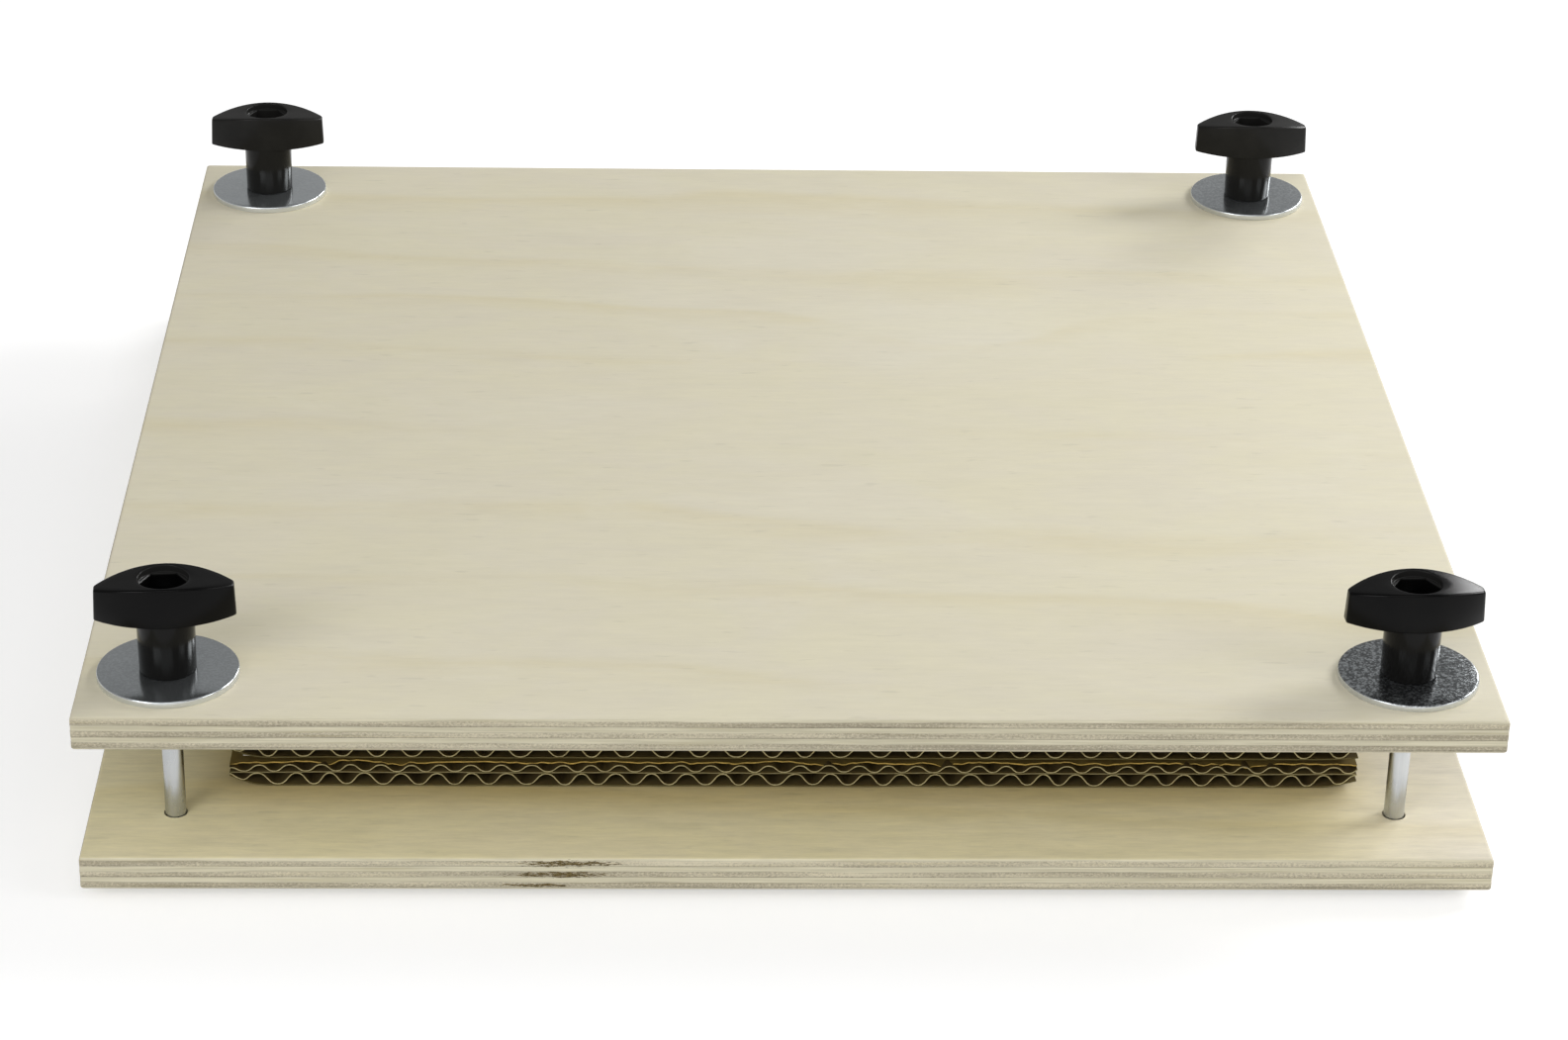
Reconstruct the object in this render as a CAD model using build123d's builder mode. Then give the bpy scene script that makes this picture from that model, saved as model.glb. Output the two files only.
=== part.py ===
from build123d import *
import os
from math import atan2, ceil, cos, degrees, radians, sin, sqrt, tan

# A flower press: two plywood boards, drawn together by four carriage bolts with wing knobs, hold a
# stack of corrugated cards with blotting sheets between them. Millimetres, +Z up, the front is -Y.
# The origin is under the middle of the press, on the surface that the bolt heads stand on.

# Boards
board_width = 300.0
board_depth = 300.0
board_thickness = 8.0
board_edge_round = 0.9
hole_inset = 18.6
lower_hole_clearance = 0.1
upper_hole_clearance = 0.55

# Carriage bolts, M5
thread_diameter = 4.9
thread_length = 16.0
shank_diameter = 4.48
head_diameter = 13.0
head_height = 3.0
head_rim = 0.5
head_flat = 4.0
neck_width = 5.0
neck_length = 3.5
neck_clearance = 0.05
tip_chamfer = 0.5
tip_reserve = 8.45

# Penny washers
washer_diameter = 30.0
washer_thickness = 1.5
washer_edge_round = 0.3
washer_clearance = 0.2

# Nuts, captive in the knobs
nut_flats = 8.0
nut_height = 4.0
nut_chamfer_angle = 30.0
nut_clearance = 0.05
thread_clearance = 0.05

# Wing knobs
knob_clearance = 0.05
knob_floor = 4.0
knob_bore_clearance = 0.2
stem_height = 12.55
stem_wall = 1.52
stem_draft_angle = 1.0
stem_step = 0.3
wing_length = 29.6
wing_end_width = 2.8
wing_end_height = 6.95
wing_height = 9.05
wing_draft_angle = 2.0
wing_corner_round = 0.6
wing_edge_round = 0.4
mouth_wall = 1.2
mouth_depth = 1.6
socket_draft_angle = 2.5

# Corrugated cards, double wall: tall flutes below, short flutes above
card_count = 4
card_side_room = 6.16
card_shift_share = 0.32
liner = 0.3
flute_paper = 0.2
tall_flute_height = 3.1
tall_flute_pitch = 7.75
short_flute_height = 1.9
short_flute_pitch = 6.48
crest_share = 0.24
crest_round_share = 0.55
tall_phase_shares = (0.45, 0.28, 0.71, 0.10)
short_phase_shares = (0.60, 0.80, 0.15, 0.40)

# Blotting sheets, two on each card but the top one
blotter_thickness = 0.3
blotter_margin = 3.0
blotters_per_card = 2

sheet_clearance = 0.12
overrun = 1.0

# How far each knob is turned at rest, in degrees, anticlockwise seen from above
knob_turns = {"front_left": 5.2, "front_right": 1.5, "back_left": 2.4, "back_right": -0.2}
corner_sides = {"front_left": (-1, -1), "front_right": (1, -1), "back_left": (-1, 1), "back_right": (1, 1)}

# Places that follow from the sizes above
hole_pitch_x = board_width - 2 * hole_inset
hole_pitch_y = board_depth - 2 * hole_inset
bolt_room_x = hole_pitch_x - shank_diameter
bolt_room_y = hole_pitch_y - shank_diameter
card_width = bolt_room_x - 2 * card_side_room
card_depth = bolt_room_y - 2 * card_side_room
card_shift = card_shift_share * card_side_room
card_thickness = 3 * liner + tall_flute_height + short_flute_height
layer_rise = card_thickness + blotters_per_card * blotter_thickness + sheet_clearance

lower_board_z = head_height
first_card_z = lower_board_z + board_thickness + sheet_clearance
upper_board_z = first_card_z + (card_count - 1) * layer_rise + card_thickness + sheet_clearance
washer_z = upper_board_z + board_thickness
knob_z = washer_z + washer_thickness + knob_clearance
nut_z = knob_z + knob_floor
tip_z = nut_z + nut_height + tip_reserve

socket_flats = nut_flats + 2 * nut_clearance
stem_top_diameter = socket_flats * 2 / sqrt(3) + 2 * stem_wall
wing_width = stem_top_diameter + 2 * stem_step
mouth_diameter = wing_width - 2 * mouth_wall
knob_height = stem_height + wing_height
mouth_z = knob_height - mouth_depth


def corner_plane(corner, z, turn=0.0):
    """A level plane on a bolt's axis, with its X axis turned anticlockwise by turn degrees."""
    side_x, side_y = corner_sides[corner]
    place = (side_x * hole_pitch_x / 2, side_y * hole_pitch_y / 2, z)
    return Plane(origin=place, x_dir=(cos(radians(turn)), sin(radians(turn)), 0), z_dir=(0, 0, 1))


def upright_plane(level):
    """The upright plane through a level plane's X axis, with height as its second axis."""
    return Plane(origin=level.origin, x_dir=level.x_dir, z_dir=-level.y_dir)


def keep(builder, name):
    """Labels a finished piece and writes it."""
    builder.part.label = name
    export_step(builder.part, f"parts/{name}.step")


def make_lower_board():
    """The base, with a square seat under each hole that keeps the bolt from turning."""
    with BuildPart() as board:
        with BuildSketch(Plane.XY.offset(lower_board_z)):
            Rectangle(board_width, board_depth)
        extrude(amount=board_thickness)
        fillet(board.edges(), board_edge_round)
        with BuildSketch(Plane.XY.offset(lower_board_z)):
            with GridLocations(hole_pitch_x, hole_pitch_y, 2, 2):
                Circle(thread_diameter / 2 + lower_hole_clearance)
        extrude(amount=board_thickness, mode=Mode.SUBTRACT)
        with BuildSketch(Plane.XY.offset(lower_board_z)):
            with GridLocations(hole_pitch_x, hole_pitch_y, 2, 2):
                Rectangle(neck_width + 2 * neck_clearance, neck_width + 2 * neck_clearance)
        extrude(amount=neck_length + neck_clearance, mode=Mode.SUBTRACT)
    return board


def make_upper_board():
    """The pressing board, which slides on the bolts."""
    with BuildPart() as board:
        with BuildSketch(Plane.XY.offset(upper_board_z)):
            Rectangle(board_width, board_depth)
        extrude(amount=board_thickness)
        fillet(board.edges(), board_edge_round)
        with BuildSketch(Plane.XY.offset(upper_board_z)):
            with GridLocations(hole_pitch_x, hole_pitch_y, 2, 2):
                Circle(thread_diameter / 2 + upper_hole_clearance)
        extrude(amount=board_thickness, mode=Mode.SUBTRACT)
    return board


def make_bolt(corner):
    """A carriage bolt: domed head, square neck, plain shank, and a thread shown as a plain cylinder."""
    foot = corner_plane(corner, 0)
    dome_height = head_height - head_rim
    dome_drop = ((head_diameter / 2) ** 2 + dome_height ** 2 - (head_flat / 2) ** 2) / (2 * dome_height)
    dome_radius = sqrt((head_flat / 2) ** 2 + dome_drop ** 2)
    flat_angle = atan2(head_flat / 2, dome_drop)
    rim_angle = atan2(head_diameter / 2, dome_drop - dome_height)
    mid_angle = (flat_angle + rim_angle) / 2
    dome_mid = (dome_radius * sin(mid_angle), dome_drop - dome_radius * cos(mid_angle))
    thread_z = tip_z - thread_length
    with BuildPart() as bolt:
        with BuildSketch(upright_plane(foot)):
            with BuildLine():
                Line((0, 0), (head_flat / 2, 0))
                ThreePointArc((head_flat / 2, 0), dome_mid, (head_diameter / 2, dome_height))
                Polyline(
                    (head_diameter / 2, dome_height),
                    (head_diameter / 2, head_height),
                    (shank_diameter / 2, head_height),
                    (shank_diameter / 2, thread_z),
                    (thread_diameter / 2, thread_z),
                    (thread_diameter / 2, tip_z - tip_chamfer),
                    (thread_diameter / 2 - tip_chamfer, tip_z),
                    (0, tip_z),
                    (0, 0),
                )
            make_face()
        revolve(axis=Axis(foot.origin, (0, 0, 1)))
        with BuildSketch(corner_plane(corner, head_height)):
            Rectangle(neck_width, neck_width)
        extrude(amount=neck_length)
    return bolt


def make_washer(corner):
    """A penny washer, its upper rim rounded as it leaves the punch."""
    with BuildPart() as washer:
        with BuildSketch(corner_plane(corner, washer_z)):
            Circle(washer_diameter / 2)
            Circle(thread_diameter / 2 + washer_clearance, mode=Mode.SUBTRACT)
        extrude(amount=washer_thickness)
        fillet(washer.edges().group_by(Axis.Z)[-1].sort_by(SortBy.RADIUS)[-1], washer_edge_round)
    return washer


def make_nut(corner):
    """A hex nut with its corners turned off at both faces, and a plain bore in place of its thread."""
    level = corner_plane(corner, nut_z, knob_turns[corner])
    corner_radius = nut_flats / sqrt(3)
    chamfer_drop = (corner_radius - nut_flats / 2) * tan(radians(nut_chamfer_angle))
    with BuildPart() as nut:
        with BuildSketch(level):
            RegularPolygon(nut_flats / 2, 6, major_radius=False)
            Circle(thread_diameter / 2 + thread_clearance, mode=Mode.SUBTRACT)
        extrude(amount=nut_height)
        with BuildSketch(upright_plane(level)):
            with BuildLine():
                Polyline(
                    (0, 0),
                    (nut_flats / 2, 0),
                    (corner_radius, chamfer_drop),
                    (corner_radius, nut_height - chamfer_drop),
                    (nut_flats / 2, nut_height),
                    (0, nut_height),
                    close=True,
                )
            make_face()
        revolve(axis=Axis(level.origin, (0, 0, 1)), mode=Mode.INTERSECT)
    return nut


def make_knob(corner):
    """A wing knob: crowned lens-shaped wing on a round stem, with a socket down to the nut's seat."""
    foot = corner_plane(corner, knob_z, knob_turns[corner])
    half_length = wing_length / 2
    half_end = wing_end_width / 2
    with BuildPart() as knob:
        with BuildSketch(foot.offset(stem_height)) as plan:
            with BuildLine():
                ThreePointArc((-half_length, -half_end), (0, -wing_width / 2), (half_length, -half_end))
                Line((half_length, -half_end), (half_length, half_end))
                ThreePointArc((half_length, half_end), (0, wing_width / 2), (-half_length, half_end))
                Line((-half_length, half_end), (-half_length, -half_end))
            make_face()
            fillet(plan.vertices(), wing_corner_round)
        extrude(amount=wing_height, taper=wing_draft_angle)
        with BuildSketch(upright_plane(foot.offset(stem_height))):
            with BuildLine():
                Polyline(
                    (-half_length, wing_end_height),
                    (-half_length, 0),
                    (half_length, 0),
                    (half_length, wing_end_height),
                )
                ThreePointArc(
                    (half_length, wing_end_height),
                    (0, wing_height),
                    (-half_length, wing_end_height),
                )
            make_face()
        extrude(amount=wing_width, both=True, mode=Mode.INTERSECT)
        crown = knob.faces().filter_by(GeomType.CYLINDER).sort_by(Axis.Z)[-1]
        fillet(crown.edges(), wing_edge_round)
        with BuildSketch(foot.offset(stem_height)):
            Circle(stem_top_diameter / 2)
        extrude(amount=-stem_height, taper=stem_draft_angle)
        with BuildSketch(foot.offset(mouth_z)):
            Circle(mouth_diameter / 2)
        extrude(amount=mouth_depth + overrun, mode=Mode.SUBTRACT)
        with BuildSketch(foot.offset(knob_floor)):
            RegularPolygon(socket_flats / 2, 6, major_radius=False)
        extrude(amount=nut_height, mode=Mode.SUBTRACT)
        with BuildSketch(foot.offset(knob_floor + nut_height)):
            RegularPolygon(socket_flats / 2, 6, major_radius=False)
        extrude(amount=mouth_z - knob_floor - nut_height, taper=-socket_draft_angle, mode=Mode.SUBTRACT)
        with BuildSketch(foot):
            Circle(thread_diameter / 2 + knob_bore_clearance)
        extrude(amount=knob_floor, mode=Mode.SUBTRACT)
    return knob


def make_card(index):
    """A double-wall corrugated card: one end section, with the cells of both rows of flutes, run through."""
    card_z = first_card_z + index * layer_rise
    tall_z = card_z + liner
    short_z = tall_z + tall_flute_height + liner
    tall_row = (tall_z, tall_flute_height, tall_flute_pitch, tall_phase_shares[index])
    short_row = (short_z, short_flute_height, short_flute_pitch, short_phase_shares[index])
    with BuildPart() as card:
        with BuildSketch(Plane.XZ.offset(card_depth / 2 - card_shift)):
            with Locations((card_shift, card_z)):
                Rectangle(card_width, card_thickness, align=(Align.CENTER, Align.MIN))
            for row_z, height, pitch, phase_share in (tall_row, short_row):
                crest = crest_share * pitch
                run = pitch / 2 - crest
                rise = height - flute_paper
                slope = atan2(rise, run)
                cell_width = crest + 2 * run * (1 + flute_paper / (2 * rise)) - flute_paper / sin(slope)
                with BuildSketch(Plane.XY, mode=Mode.PRIVATE) as cell:
                    Trapezoid(cell_width, rise, degrees(slope), align=(Align.CENTER, Align.MIN))
                    fillet(cell.vertices().group_by(Axis.Y)[-1], crest_round_share * crest)
                standing = cell.sketch
                hanging = mirror(standing, Plane.XZ, mode=Mode.PRIVATE)
                cell_count = ceil(card_width / pitch) + 2
                cell_x = card_shift + phase_share * pitch
                with Locations((cell_x, row_z)):
                    with GridLocations(pitch, pitch, cell_count, 1):
                        add(standing, mode=Mode.SUBTRACT)
                with Locations((cell_x + pitch / 2, row_z + height)):
                    with GridLocations(pitch, pitch, cell_count, 1):
                        add(hanging, mode=Mode.SUBTRACT)
        extrude(amount=-card_depth)
    return card


def make_blotter(index):
    """A blotting sheet: two lie on each card, set in from its edges."""
    layer = index // blotters_per_card
    sheet = index % blotters_per_card
    blotter_z = first_card_z + layer * layer_rise + card_thickness + sheet * blotter_thickness
    with BuildPart() as blotter:
        with BuildSketch(Plane.XY.offset(blotter_z)):
            with Locations((card_shift, card_shift)):
                Rectangle(card_width - 2 * blotter_margin, card_depth - 2 * blotter_margin)
        extrude(amount=blotter_thickness)
    return blotter


os.makedirs("parts", exist_ok=True)
keep(make_lower_board(), "lower_board")
keep(make_upper_board(), "upper_board")
for corner in corner_sides:
    keep(make_bolt(corner), f"bolt_{corner}")
    keep(make_washer(corner), f"washer_{corner}")
    keep(make_nut(corner), f"nut_{corner}")
    keep(make_knob(corner), f"knob_{corner}")
for index in range(card_count):
    keep(make_card(index), f"card_{index + 1}")
for index in range(blotters_per_card * (card_count - 1)):
    keep(make_blotter(index), f"blotter_{index + 1}")
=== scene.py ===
import math
from functools import cached_property

import bmesh
import bpy
from bmesh.types import BMEdge, BMFace, BMVert
from bpy.props import FloatProperty, FloatVectorProperty, IntProperty, PointerProperty
from bpy.types import Operator, Panel, PropertyGroup
from mathutils import Matrix, Vector, noise


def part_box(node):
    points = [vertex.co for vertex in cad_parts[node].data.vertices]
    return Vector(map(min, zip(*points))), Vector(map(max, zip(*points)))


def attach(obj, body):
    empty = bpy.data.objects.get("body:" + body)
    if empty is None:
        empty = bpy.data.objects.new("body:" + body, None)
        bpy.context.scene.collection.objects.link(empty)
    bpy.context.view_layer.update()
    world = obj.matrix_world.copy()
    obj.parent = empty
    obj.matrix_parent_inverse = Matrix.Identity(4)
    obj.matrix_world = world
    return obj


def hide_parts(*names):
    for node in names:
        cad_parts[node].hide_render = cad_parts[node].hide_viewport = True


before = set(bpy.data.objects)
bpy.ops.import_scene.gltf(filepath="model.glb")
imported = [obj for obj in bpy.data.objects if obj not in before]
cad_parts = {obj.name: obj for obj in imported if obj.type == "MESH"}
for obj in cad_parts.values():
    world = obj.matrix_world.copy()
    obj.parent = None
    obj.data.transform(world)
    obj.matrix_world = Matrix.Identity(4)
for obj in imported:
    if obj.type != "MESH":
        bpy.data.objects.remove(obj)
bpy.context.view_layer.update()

bl_info = {
    "name": "Flower Press",
    "version": (1, 0, 0),
    "blender": (4, 5, 0),
    "location": "View3D > Sidebar > Flower Press",
    "description": "Dresses a plywood flower press with wing knobs and corrugated cards",
    "category": "Object",
}

MM = 0.001
# Angles of a rounding's steps.
QUARTER_TURN = [math.radians(a) for a in (0, 22.5, 45, 67.5, 90)]
CORNERS = ("front_left", "front_right", "back_left", "back_right")


# Shader maths

def both_ways(operation):
    """An operator on wires, and its reflected form for a number on the left."""
    def plain(self, other):
        return self.math(operation, self, other)

    def reflected(self, other):
        return self.math(operation, other, self)

    return plain, reflected


class Wire:
    """One output of a finish's nodes. Arithmetic on values adds Math nodes."""

    def __init__(self, finish, socket):
        self.finish = finish
        self.socket = socket

    def math(self, operation, *values):
        sockets = dict(enumerate(values))
        return self.finish.node("ShaderNodeMath", {"operation": operation}, sockets)

    __add__, __radd__ = both_ways("ADD")
    __sub__, __rsub__ = both_ways("SUBTRACT")
    __mul__, __rmul__ = both_ways("MULTIPLY")
    __truediv__, __rtruediv__ = both_ways("DIVIDE")
    __mod__, __rmod__ = both_ways("FLOORED_MODULO")
    __pow__, __rpow__ = both_ways("POWER")

    def __abs__(self):
        return self.math("ABSOLUTE", self)

    def exp(self):
        return self.math("EXPONENT", self)

    def most(self, other):
        return self.math("MAXIMUM", self, other)

    def rise(self, low, high):
        """0 below low, 1 above high, with a smooth step between."""
        sockets = {"Value": self, "From Min": low, "From Max": high}
        return self.finish.node("ShaderNodeMapRange", {"interpolation_type": "SMOOTHSTEP"}, sockets)


class Finish:
    """A material or world whose nodes are added one at a time."""

    def __init__(self, owner):
        owner.use_nodes = True
        self.owner = owner
        self.tree = owner.node_tree
        self.tree.nodes.clear()

    @cached_property
    def place(self):
        return self.node("ShaderNodeTexCoord", out="Object")

    @cached_property
    def facing(self):
        return self.node("ShaderNodeNewGeometry", out="Normal")

    def node(self, kind, settings=None, sockets=None, out=0):
        """Adds a node, sets it up, then fills or links its sockets, and returns one output."""
        made = self.tree.nodes.new(kind)
        for key, value in (settings or {}).items():
            if key == "stops":
                ramp = made.color_ramp
                while len(ramp.elements) < len(value):
                    ramp.elements.new(1.0)
                for element, (position, level) in zip(ramp.elements, value):
                    element.position = position
                    element.color = (level, level, level, 1.0)
            else:
                setattr(made, key, value)
        for key, value in (sockets or {}).items():
            if isinstance(value, Wire):
                self.tree.links.new(value.socket, made.inputs[key])
            else:
                made.inputs[key].default_value = value
        return Wire(self, made.outputs[out]) if made.outputs else None

    def split(self, vector):
        return [self.node("ShaderNodeSeparateXYZ", None, {0: vector}, axis) for axis in range(3)]

    def stretch(self, scales):
        """The place, scaled apart along X, Y and Z."""
        sockets = {0: self.place, 1: scales}
        return self.node("ShaderNodeVectorMath", {"operation": "MULTIPLY"}, sockets)

    def noise(self, scales, detail=2.0, rough=0.5, distortion=0.0):
        """Noise with its own scale along X, Y and Z, in features per metre."""
        sockets = {"Vector": self.stretch(scales), "Scale": 1.0, "Detail": detail,
                   "Roughness": rough, "Distortion": distortion}
        return self.node("ShaderNodeTexNoise", None, sockets)

    def grains(self, scales):
        """Cells with a level of their own, as the crystals of a zinc coat have."""
        sockets = {"Vector": self.stretch(scales), "Scale": 1.0}
        colour = self.node("ShaderNodeTexVoronoi", {"feature": "SMOOTH_F1"}, sockets, "Color")
        return self.split(colour)[0]

    def ramp(self, value, stops):
        return self.node("ShaderNodeValToRGB", {"stops": stops}, {0: value})

    def mix(self, share, first, second, blend="MIX"):
        """A colour between two others."""
        first, second = (c if isinstance(c, Wire) else (*c, 1.0) for c in (first, second))
        settings = {"data_type": "RGBA", "blend_type": blend}
        return self.node("ShaderNodeMix", settings, {0: share, 6: first, 7: second}, 2)

    def grey(self, value):
        """A value as a colour that multiplies others."""
        return self.node("ShaderNodeCombineColor", None, {0: value, 1: value, 2: value})

    def bump(self, height, strength, distance):
        sockets = {"Strength": strength, "Distance": distance, "Height": height}
        return self.node("ShaderNodeBump", None, sockets)

    def surface(self, **sockets):
        """Ends the finish in a Principled shader; names have _ for a space."""
        named = {key.replace("_", " "): value for key, value in sockets.items()}
        shader = self.node("ShaderNodeBsdfPrincipled", None, named)
        self.node("ShaderNodeOutputMaterial", None, {"Surface": shader})
        return self.owner


def new_finish(name):
    return Finish(bpy.data.materials.new(name))


# Piece helpers

def new_piece(bm, name, body, nodes, finishes, sharp=35.0):
    """Turns a bmesh into a piece that rides on a body and stands for CAD nodes."""
    bmesh.ops.recalc_face_normals(bm, faces=bm.faces)
    mesh = bpy.data.meshes.new(name)
    bm.to_mesh(mesh)
    bm.free()
    mesh.shade_smooth()
    mesh.set_sharp_from_angle(angle=math.radians(sharp))
    for finish in finishes:
        mesh.materials.append(finish)
    piece = bpy.data.objects.new(name, mesh)
    bpy.context.scene.collection.objects.link(piece)
    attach(piece, body)
    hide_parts(*nodes)


def node_box(node):
    low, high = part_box(node)
    return Vector(low), Vector(high)


def node_middle(node):
    low, high = node_box(node)
    return (low + high) / 2


def made_geom(made, kind):
    """The points, edges or faces among what an operator has made."""
    return [g for g in made["geom"] if isinstance(g, kind)]


def drift(x, y, z=0.0):
    """Smooth noise from -1 to 1 at a place given in features."""
    return noise.noise(Vector((x, y, z)))


def profile_edges(bm, points):
    """An open profile of (radius, height) points in the XZ plane."""
    verts = [bm.verts.new((radius, 0.0, height)) for radius, height in points]
    return verts + [bm.edges.new(pair) for pair in zip(verts, verts[1:])]


def round_points(bm, points, radius):
    """Rounds corners of a flat outline."""
    bmesh.ops.bevel(bm, geom=points, offset=radius, offset_type="OFFSET", segments=4, profile=0.5,
                    affect="VERTICES", material=-1)


def turn_profile(bm, geom, steps):
    """Spins a profile round the Z axis into a closed skin."""
    bmesh.ops.spin(bm, geom=geom, cent=(0, 0, 0), axis=(0, 0, 1), dvec=(0, 0, 0), angle=math.tau,
                   steps=steps, use_merge=True, use_normal_flip=False, use_duplicate=False)
    bmesh.ops.remove_doubles(bm, verts=bm.verts, dist=0.001 * MM)


def stand_on_axis(bm, low, high):
    """Moves a turned piece from the origin to its node's upright axis."""
    middle = (low + high) / 2
    bmesh.ops.translate(bm, verts=bm.verts, vec=(middle.x, middle.y, 0.0))


# Finishes

def veneer(low, high, look):
    """Thickness of the veneers between the two faces, which are sanded to half of it."""
    return (high.z - low.z) / (look.ply_count - 1)


def plywood(name, low, high, look, tints, contrast, edge_level, stains=()):
    """Birch plywood: long grain along X on the faces, long and end grain by turns on the edges."""
    f = new_finish(name)
    x, y, z = f.split(f.place)
    nx, ny, nz = (abs(n) for n in f.split(f.facing))
    tint, painted_light_tint, painted_shade_tint = tints
    ply_wander = f.noise((22.0, 22.0, 190.0), 4.0, 0.6)
    layer = (z - low.z) / veneer(low, high, look) + 0.5 + (ply_wander - 0.5)
    cross = (layer % 2.0).rise(0.92, 1.08) * (1.0 - (layer % 2.0).rise(1.92, 2.0))
    end_grain = nx * (1.0 - cross) + ny * cross
    edge = 1.0 - nz.rise(0.55, 0.9)

    # Growth rings, seen flat on the face as long thin lines that wander and fade
    bend = f.noise((3.0, 9.0, 9.0), 3.0, 0.55)
    knot_x, knot_y = x - 46 * MM, y - 48 * MM
    swell = ((knot_x * knot_x * 900.0 + knot_y * knot_y * 1500.0) * -1.0).exp()
    ring = y * 26.0 + bend * 2.6 + swell * 0.8
    line = f.ramp(ring % 1.0, [(0.0, 0.0), (0.62, 0.08), (0.9, 1.0), (1.0, 0.0)])
    fade = f.noise((5.0, 30.0, 30.0), 6.0, 0.7).rise(0.38, 0.62)
    streak = f.noise((34.0, 130.0, 130.0), 5.0, 0.7)
    fibre = f.noise((85.0, 600.0, 600.0), 4.0, 0.75)
    fleck = f.noise((120.0, 620.0, 620.0), 2.0, 0.5)
    cloud = f.noise((20.0, 36.0, 36.0), 7.0, 0.72, 0.4)
    pale = f.noise((14.0, 34.0, 34.0), 5.0, 0.7, 0.6)
    face = f.mix(cloud.rise(0.32, 0.68), look.face_colour, look.blush_colour)
    face = f.mix(line * fade * 0.62, face, look.ring_colour)
    face = f.mix(pale.rise(0.5, 0.72) * 0.3 + swell * 0.45, face, look.pale_colour)
    tone = ((streak - 0.5) * 0.11 + (fibre - 0.5) * 0.2) * contrast - fleck.rise(0.64, 0.76) * 0.08
    face = f.mix(1.0, face, f.grey(1.0 + tone), "MULTIPLY")
    # Towards its right end the board's tint gives way to a greyer, less yellow one: painted light
    # from the right.
    tint_with_painted_light = f.mix(x.rise(105 * MM, 143 * MM), tint, painted_light_tint)
    face = f.mix(1.0, face, tint_with_painted_light, "MULTIPLY")
    # Painted shade: the lower board is darker and warmer under and beside the cards, where the
    # cards and the upper board shade it.
    under_cards_shade = (1.0 - abs(x).rise(114 * MM, 133 * MM)) * (1.0 - abs(y).rise(120 * MM, 136 * MM))
    face = f.mix(under_cards_shade, face, painted_shade_tint, "MULTIPLY")

    # Edges, veneer by veneer
    long_fibre = f.noise((26.0, 26.0, 2200.0), 4.0, 0.65)
    pores = f.noise((1700.0, 1700.0, 2400.0), 4.0, 0.75)
    patchy = f.noise((16.0, 16.0, 420.0), 3.0, 0.6)
    scratch = f.noise((55.0, 55.0, 1500.0), 4.0, 0.7)
    long_side = f.mix(long_fibre.rise(0.35, 0.75), look.long_edge_colour, look.face_colour)
    between_pores = (pores + (patchy - 0.5) * 0.8).rise(0.3, 0.7)
    end_side = f.mix(between_pores, look.end_edge_dark, look.end_edge_colour)
    side = f.mix(end_grain.rise(0.35, 0.8), long_side, end_side)
    glue = abs(layer % 1.0 - 0.5).rise(0.40, 0.5) * 0.4
    side = f.mix(glue, side, look.end_edge_dark)
    side = f.mix((1.0 - long_fibre.rise(0.3, 0.46)) * 0.45, side, look.edge_streak)
    # edge_level lifts or dims a board's edges: painted light.
    side = f.mix(1.0, side, f.grey(edge_level + (scratch - 0.5) * 0.5), "MULTIPLY")
    colour = f.mix(edge, face, side)

    # Bark left in the front edge
    bark = f.noise((420.0, 420.0, 2600.0), 5.0, 0.8)
    bark_colour = f.mix(pores.rise(0.4, 0.62), look.stain_colour, look.stain_light)
    for centre, reach, height, tall in stains:
        across = (x - centre) / reach
        up = (z - height) / tall
        torn = across * across + up * up + (bark - 0.5) * 8.5
        front = ny.rise(0.6, 0.9) * (0.0 - y).rise(100 * MM, 140 * MM)
        spot = (1.0 - torn.rise(0.45, 0.75)) * 0.96 * front
        colour = f.mix(spot, colour, bark_colour)
    rough = 0.56 + fibre * 0.12 + edge * 0.12
    relief = fibre * 0.5 + streak * 0.4 + (pores - 0.5) * edge * end_grain * 1.6
    return f.surface(Base_Color=colour, Roughness=rough, Normal=f.bump(relief, 0.18, 0.12 * MM),
                     Specular_IOR_Level=0.35)


def zinc_plate(name, look, level, spangle):
    """Zinc plate of some level of brightness, which is partly a painted reflection of its
    surroundings, with a painted highlight on its rim; spangle is how far its crystals show.
    """
    f = new_finish(name)
    nz = f.split(f.facing)[2]
    crystal = f.grains((2600.0, 2600.0, 2600.0))
    speck = f.noise((2600.0, 2600.0, 2600.0), 3.0, 0.7)
    cloud = f.noise((120.0, 120.0, 120.0), 3.0)
    sparkle = crystal.rise(0.2, 0.8) * 0.8 + speck * 0.4
    tone = level * (1.0 - spangle) + sparkle * (level * spangle * 1.6)
    tone = tone * (0.92 + cloud * 0.16)
    colour = f.mix(1.0, f.grey(tone), look.zinc_tint, "MULTIPLY")
    rim = 1.0 - nz.rise(0.15, 0.85)
    # Painted highlight: the rim is lightened as if it caught the light.
    colour = f.mix(rim * 0.9, colour, look.rim_highlight)
    rough = 0.14 + cloud * 0.06 + crystal * (0.06 * spangle) + rim * 0.12
    relief = crystal * spangle + speck * 0.25
    return f.surface(Base_Color=colour, Metallic=0.93, Roughness=rough,
                     Normal=f.bump(relief, 0.06, 0.05 * MM))


def zinc_rod(look):
    """Drawn and plated steel: faint streaks along the rod."""
    f = new_finish("zinc_rod")
    draw = f.noise((2600.0, 2600.0, 45.0), 3.0, 0.6)
    cloud = f.noise((160.0, 160.0, 90.0), 3.0)
    colour = f.mix(draw * 0.4 + cloud.rise(0.3, 0.75) * 0.5, look.rod_dark, look.rod_light)
    rough = 0.2 + cloud * 0.16
    return f.surface(Base_Color=colour, Metallic=1.0, Roughness=rough,
                     Normal=f.bump(draw, 0.1, 0.04 * MM))


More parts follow.
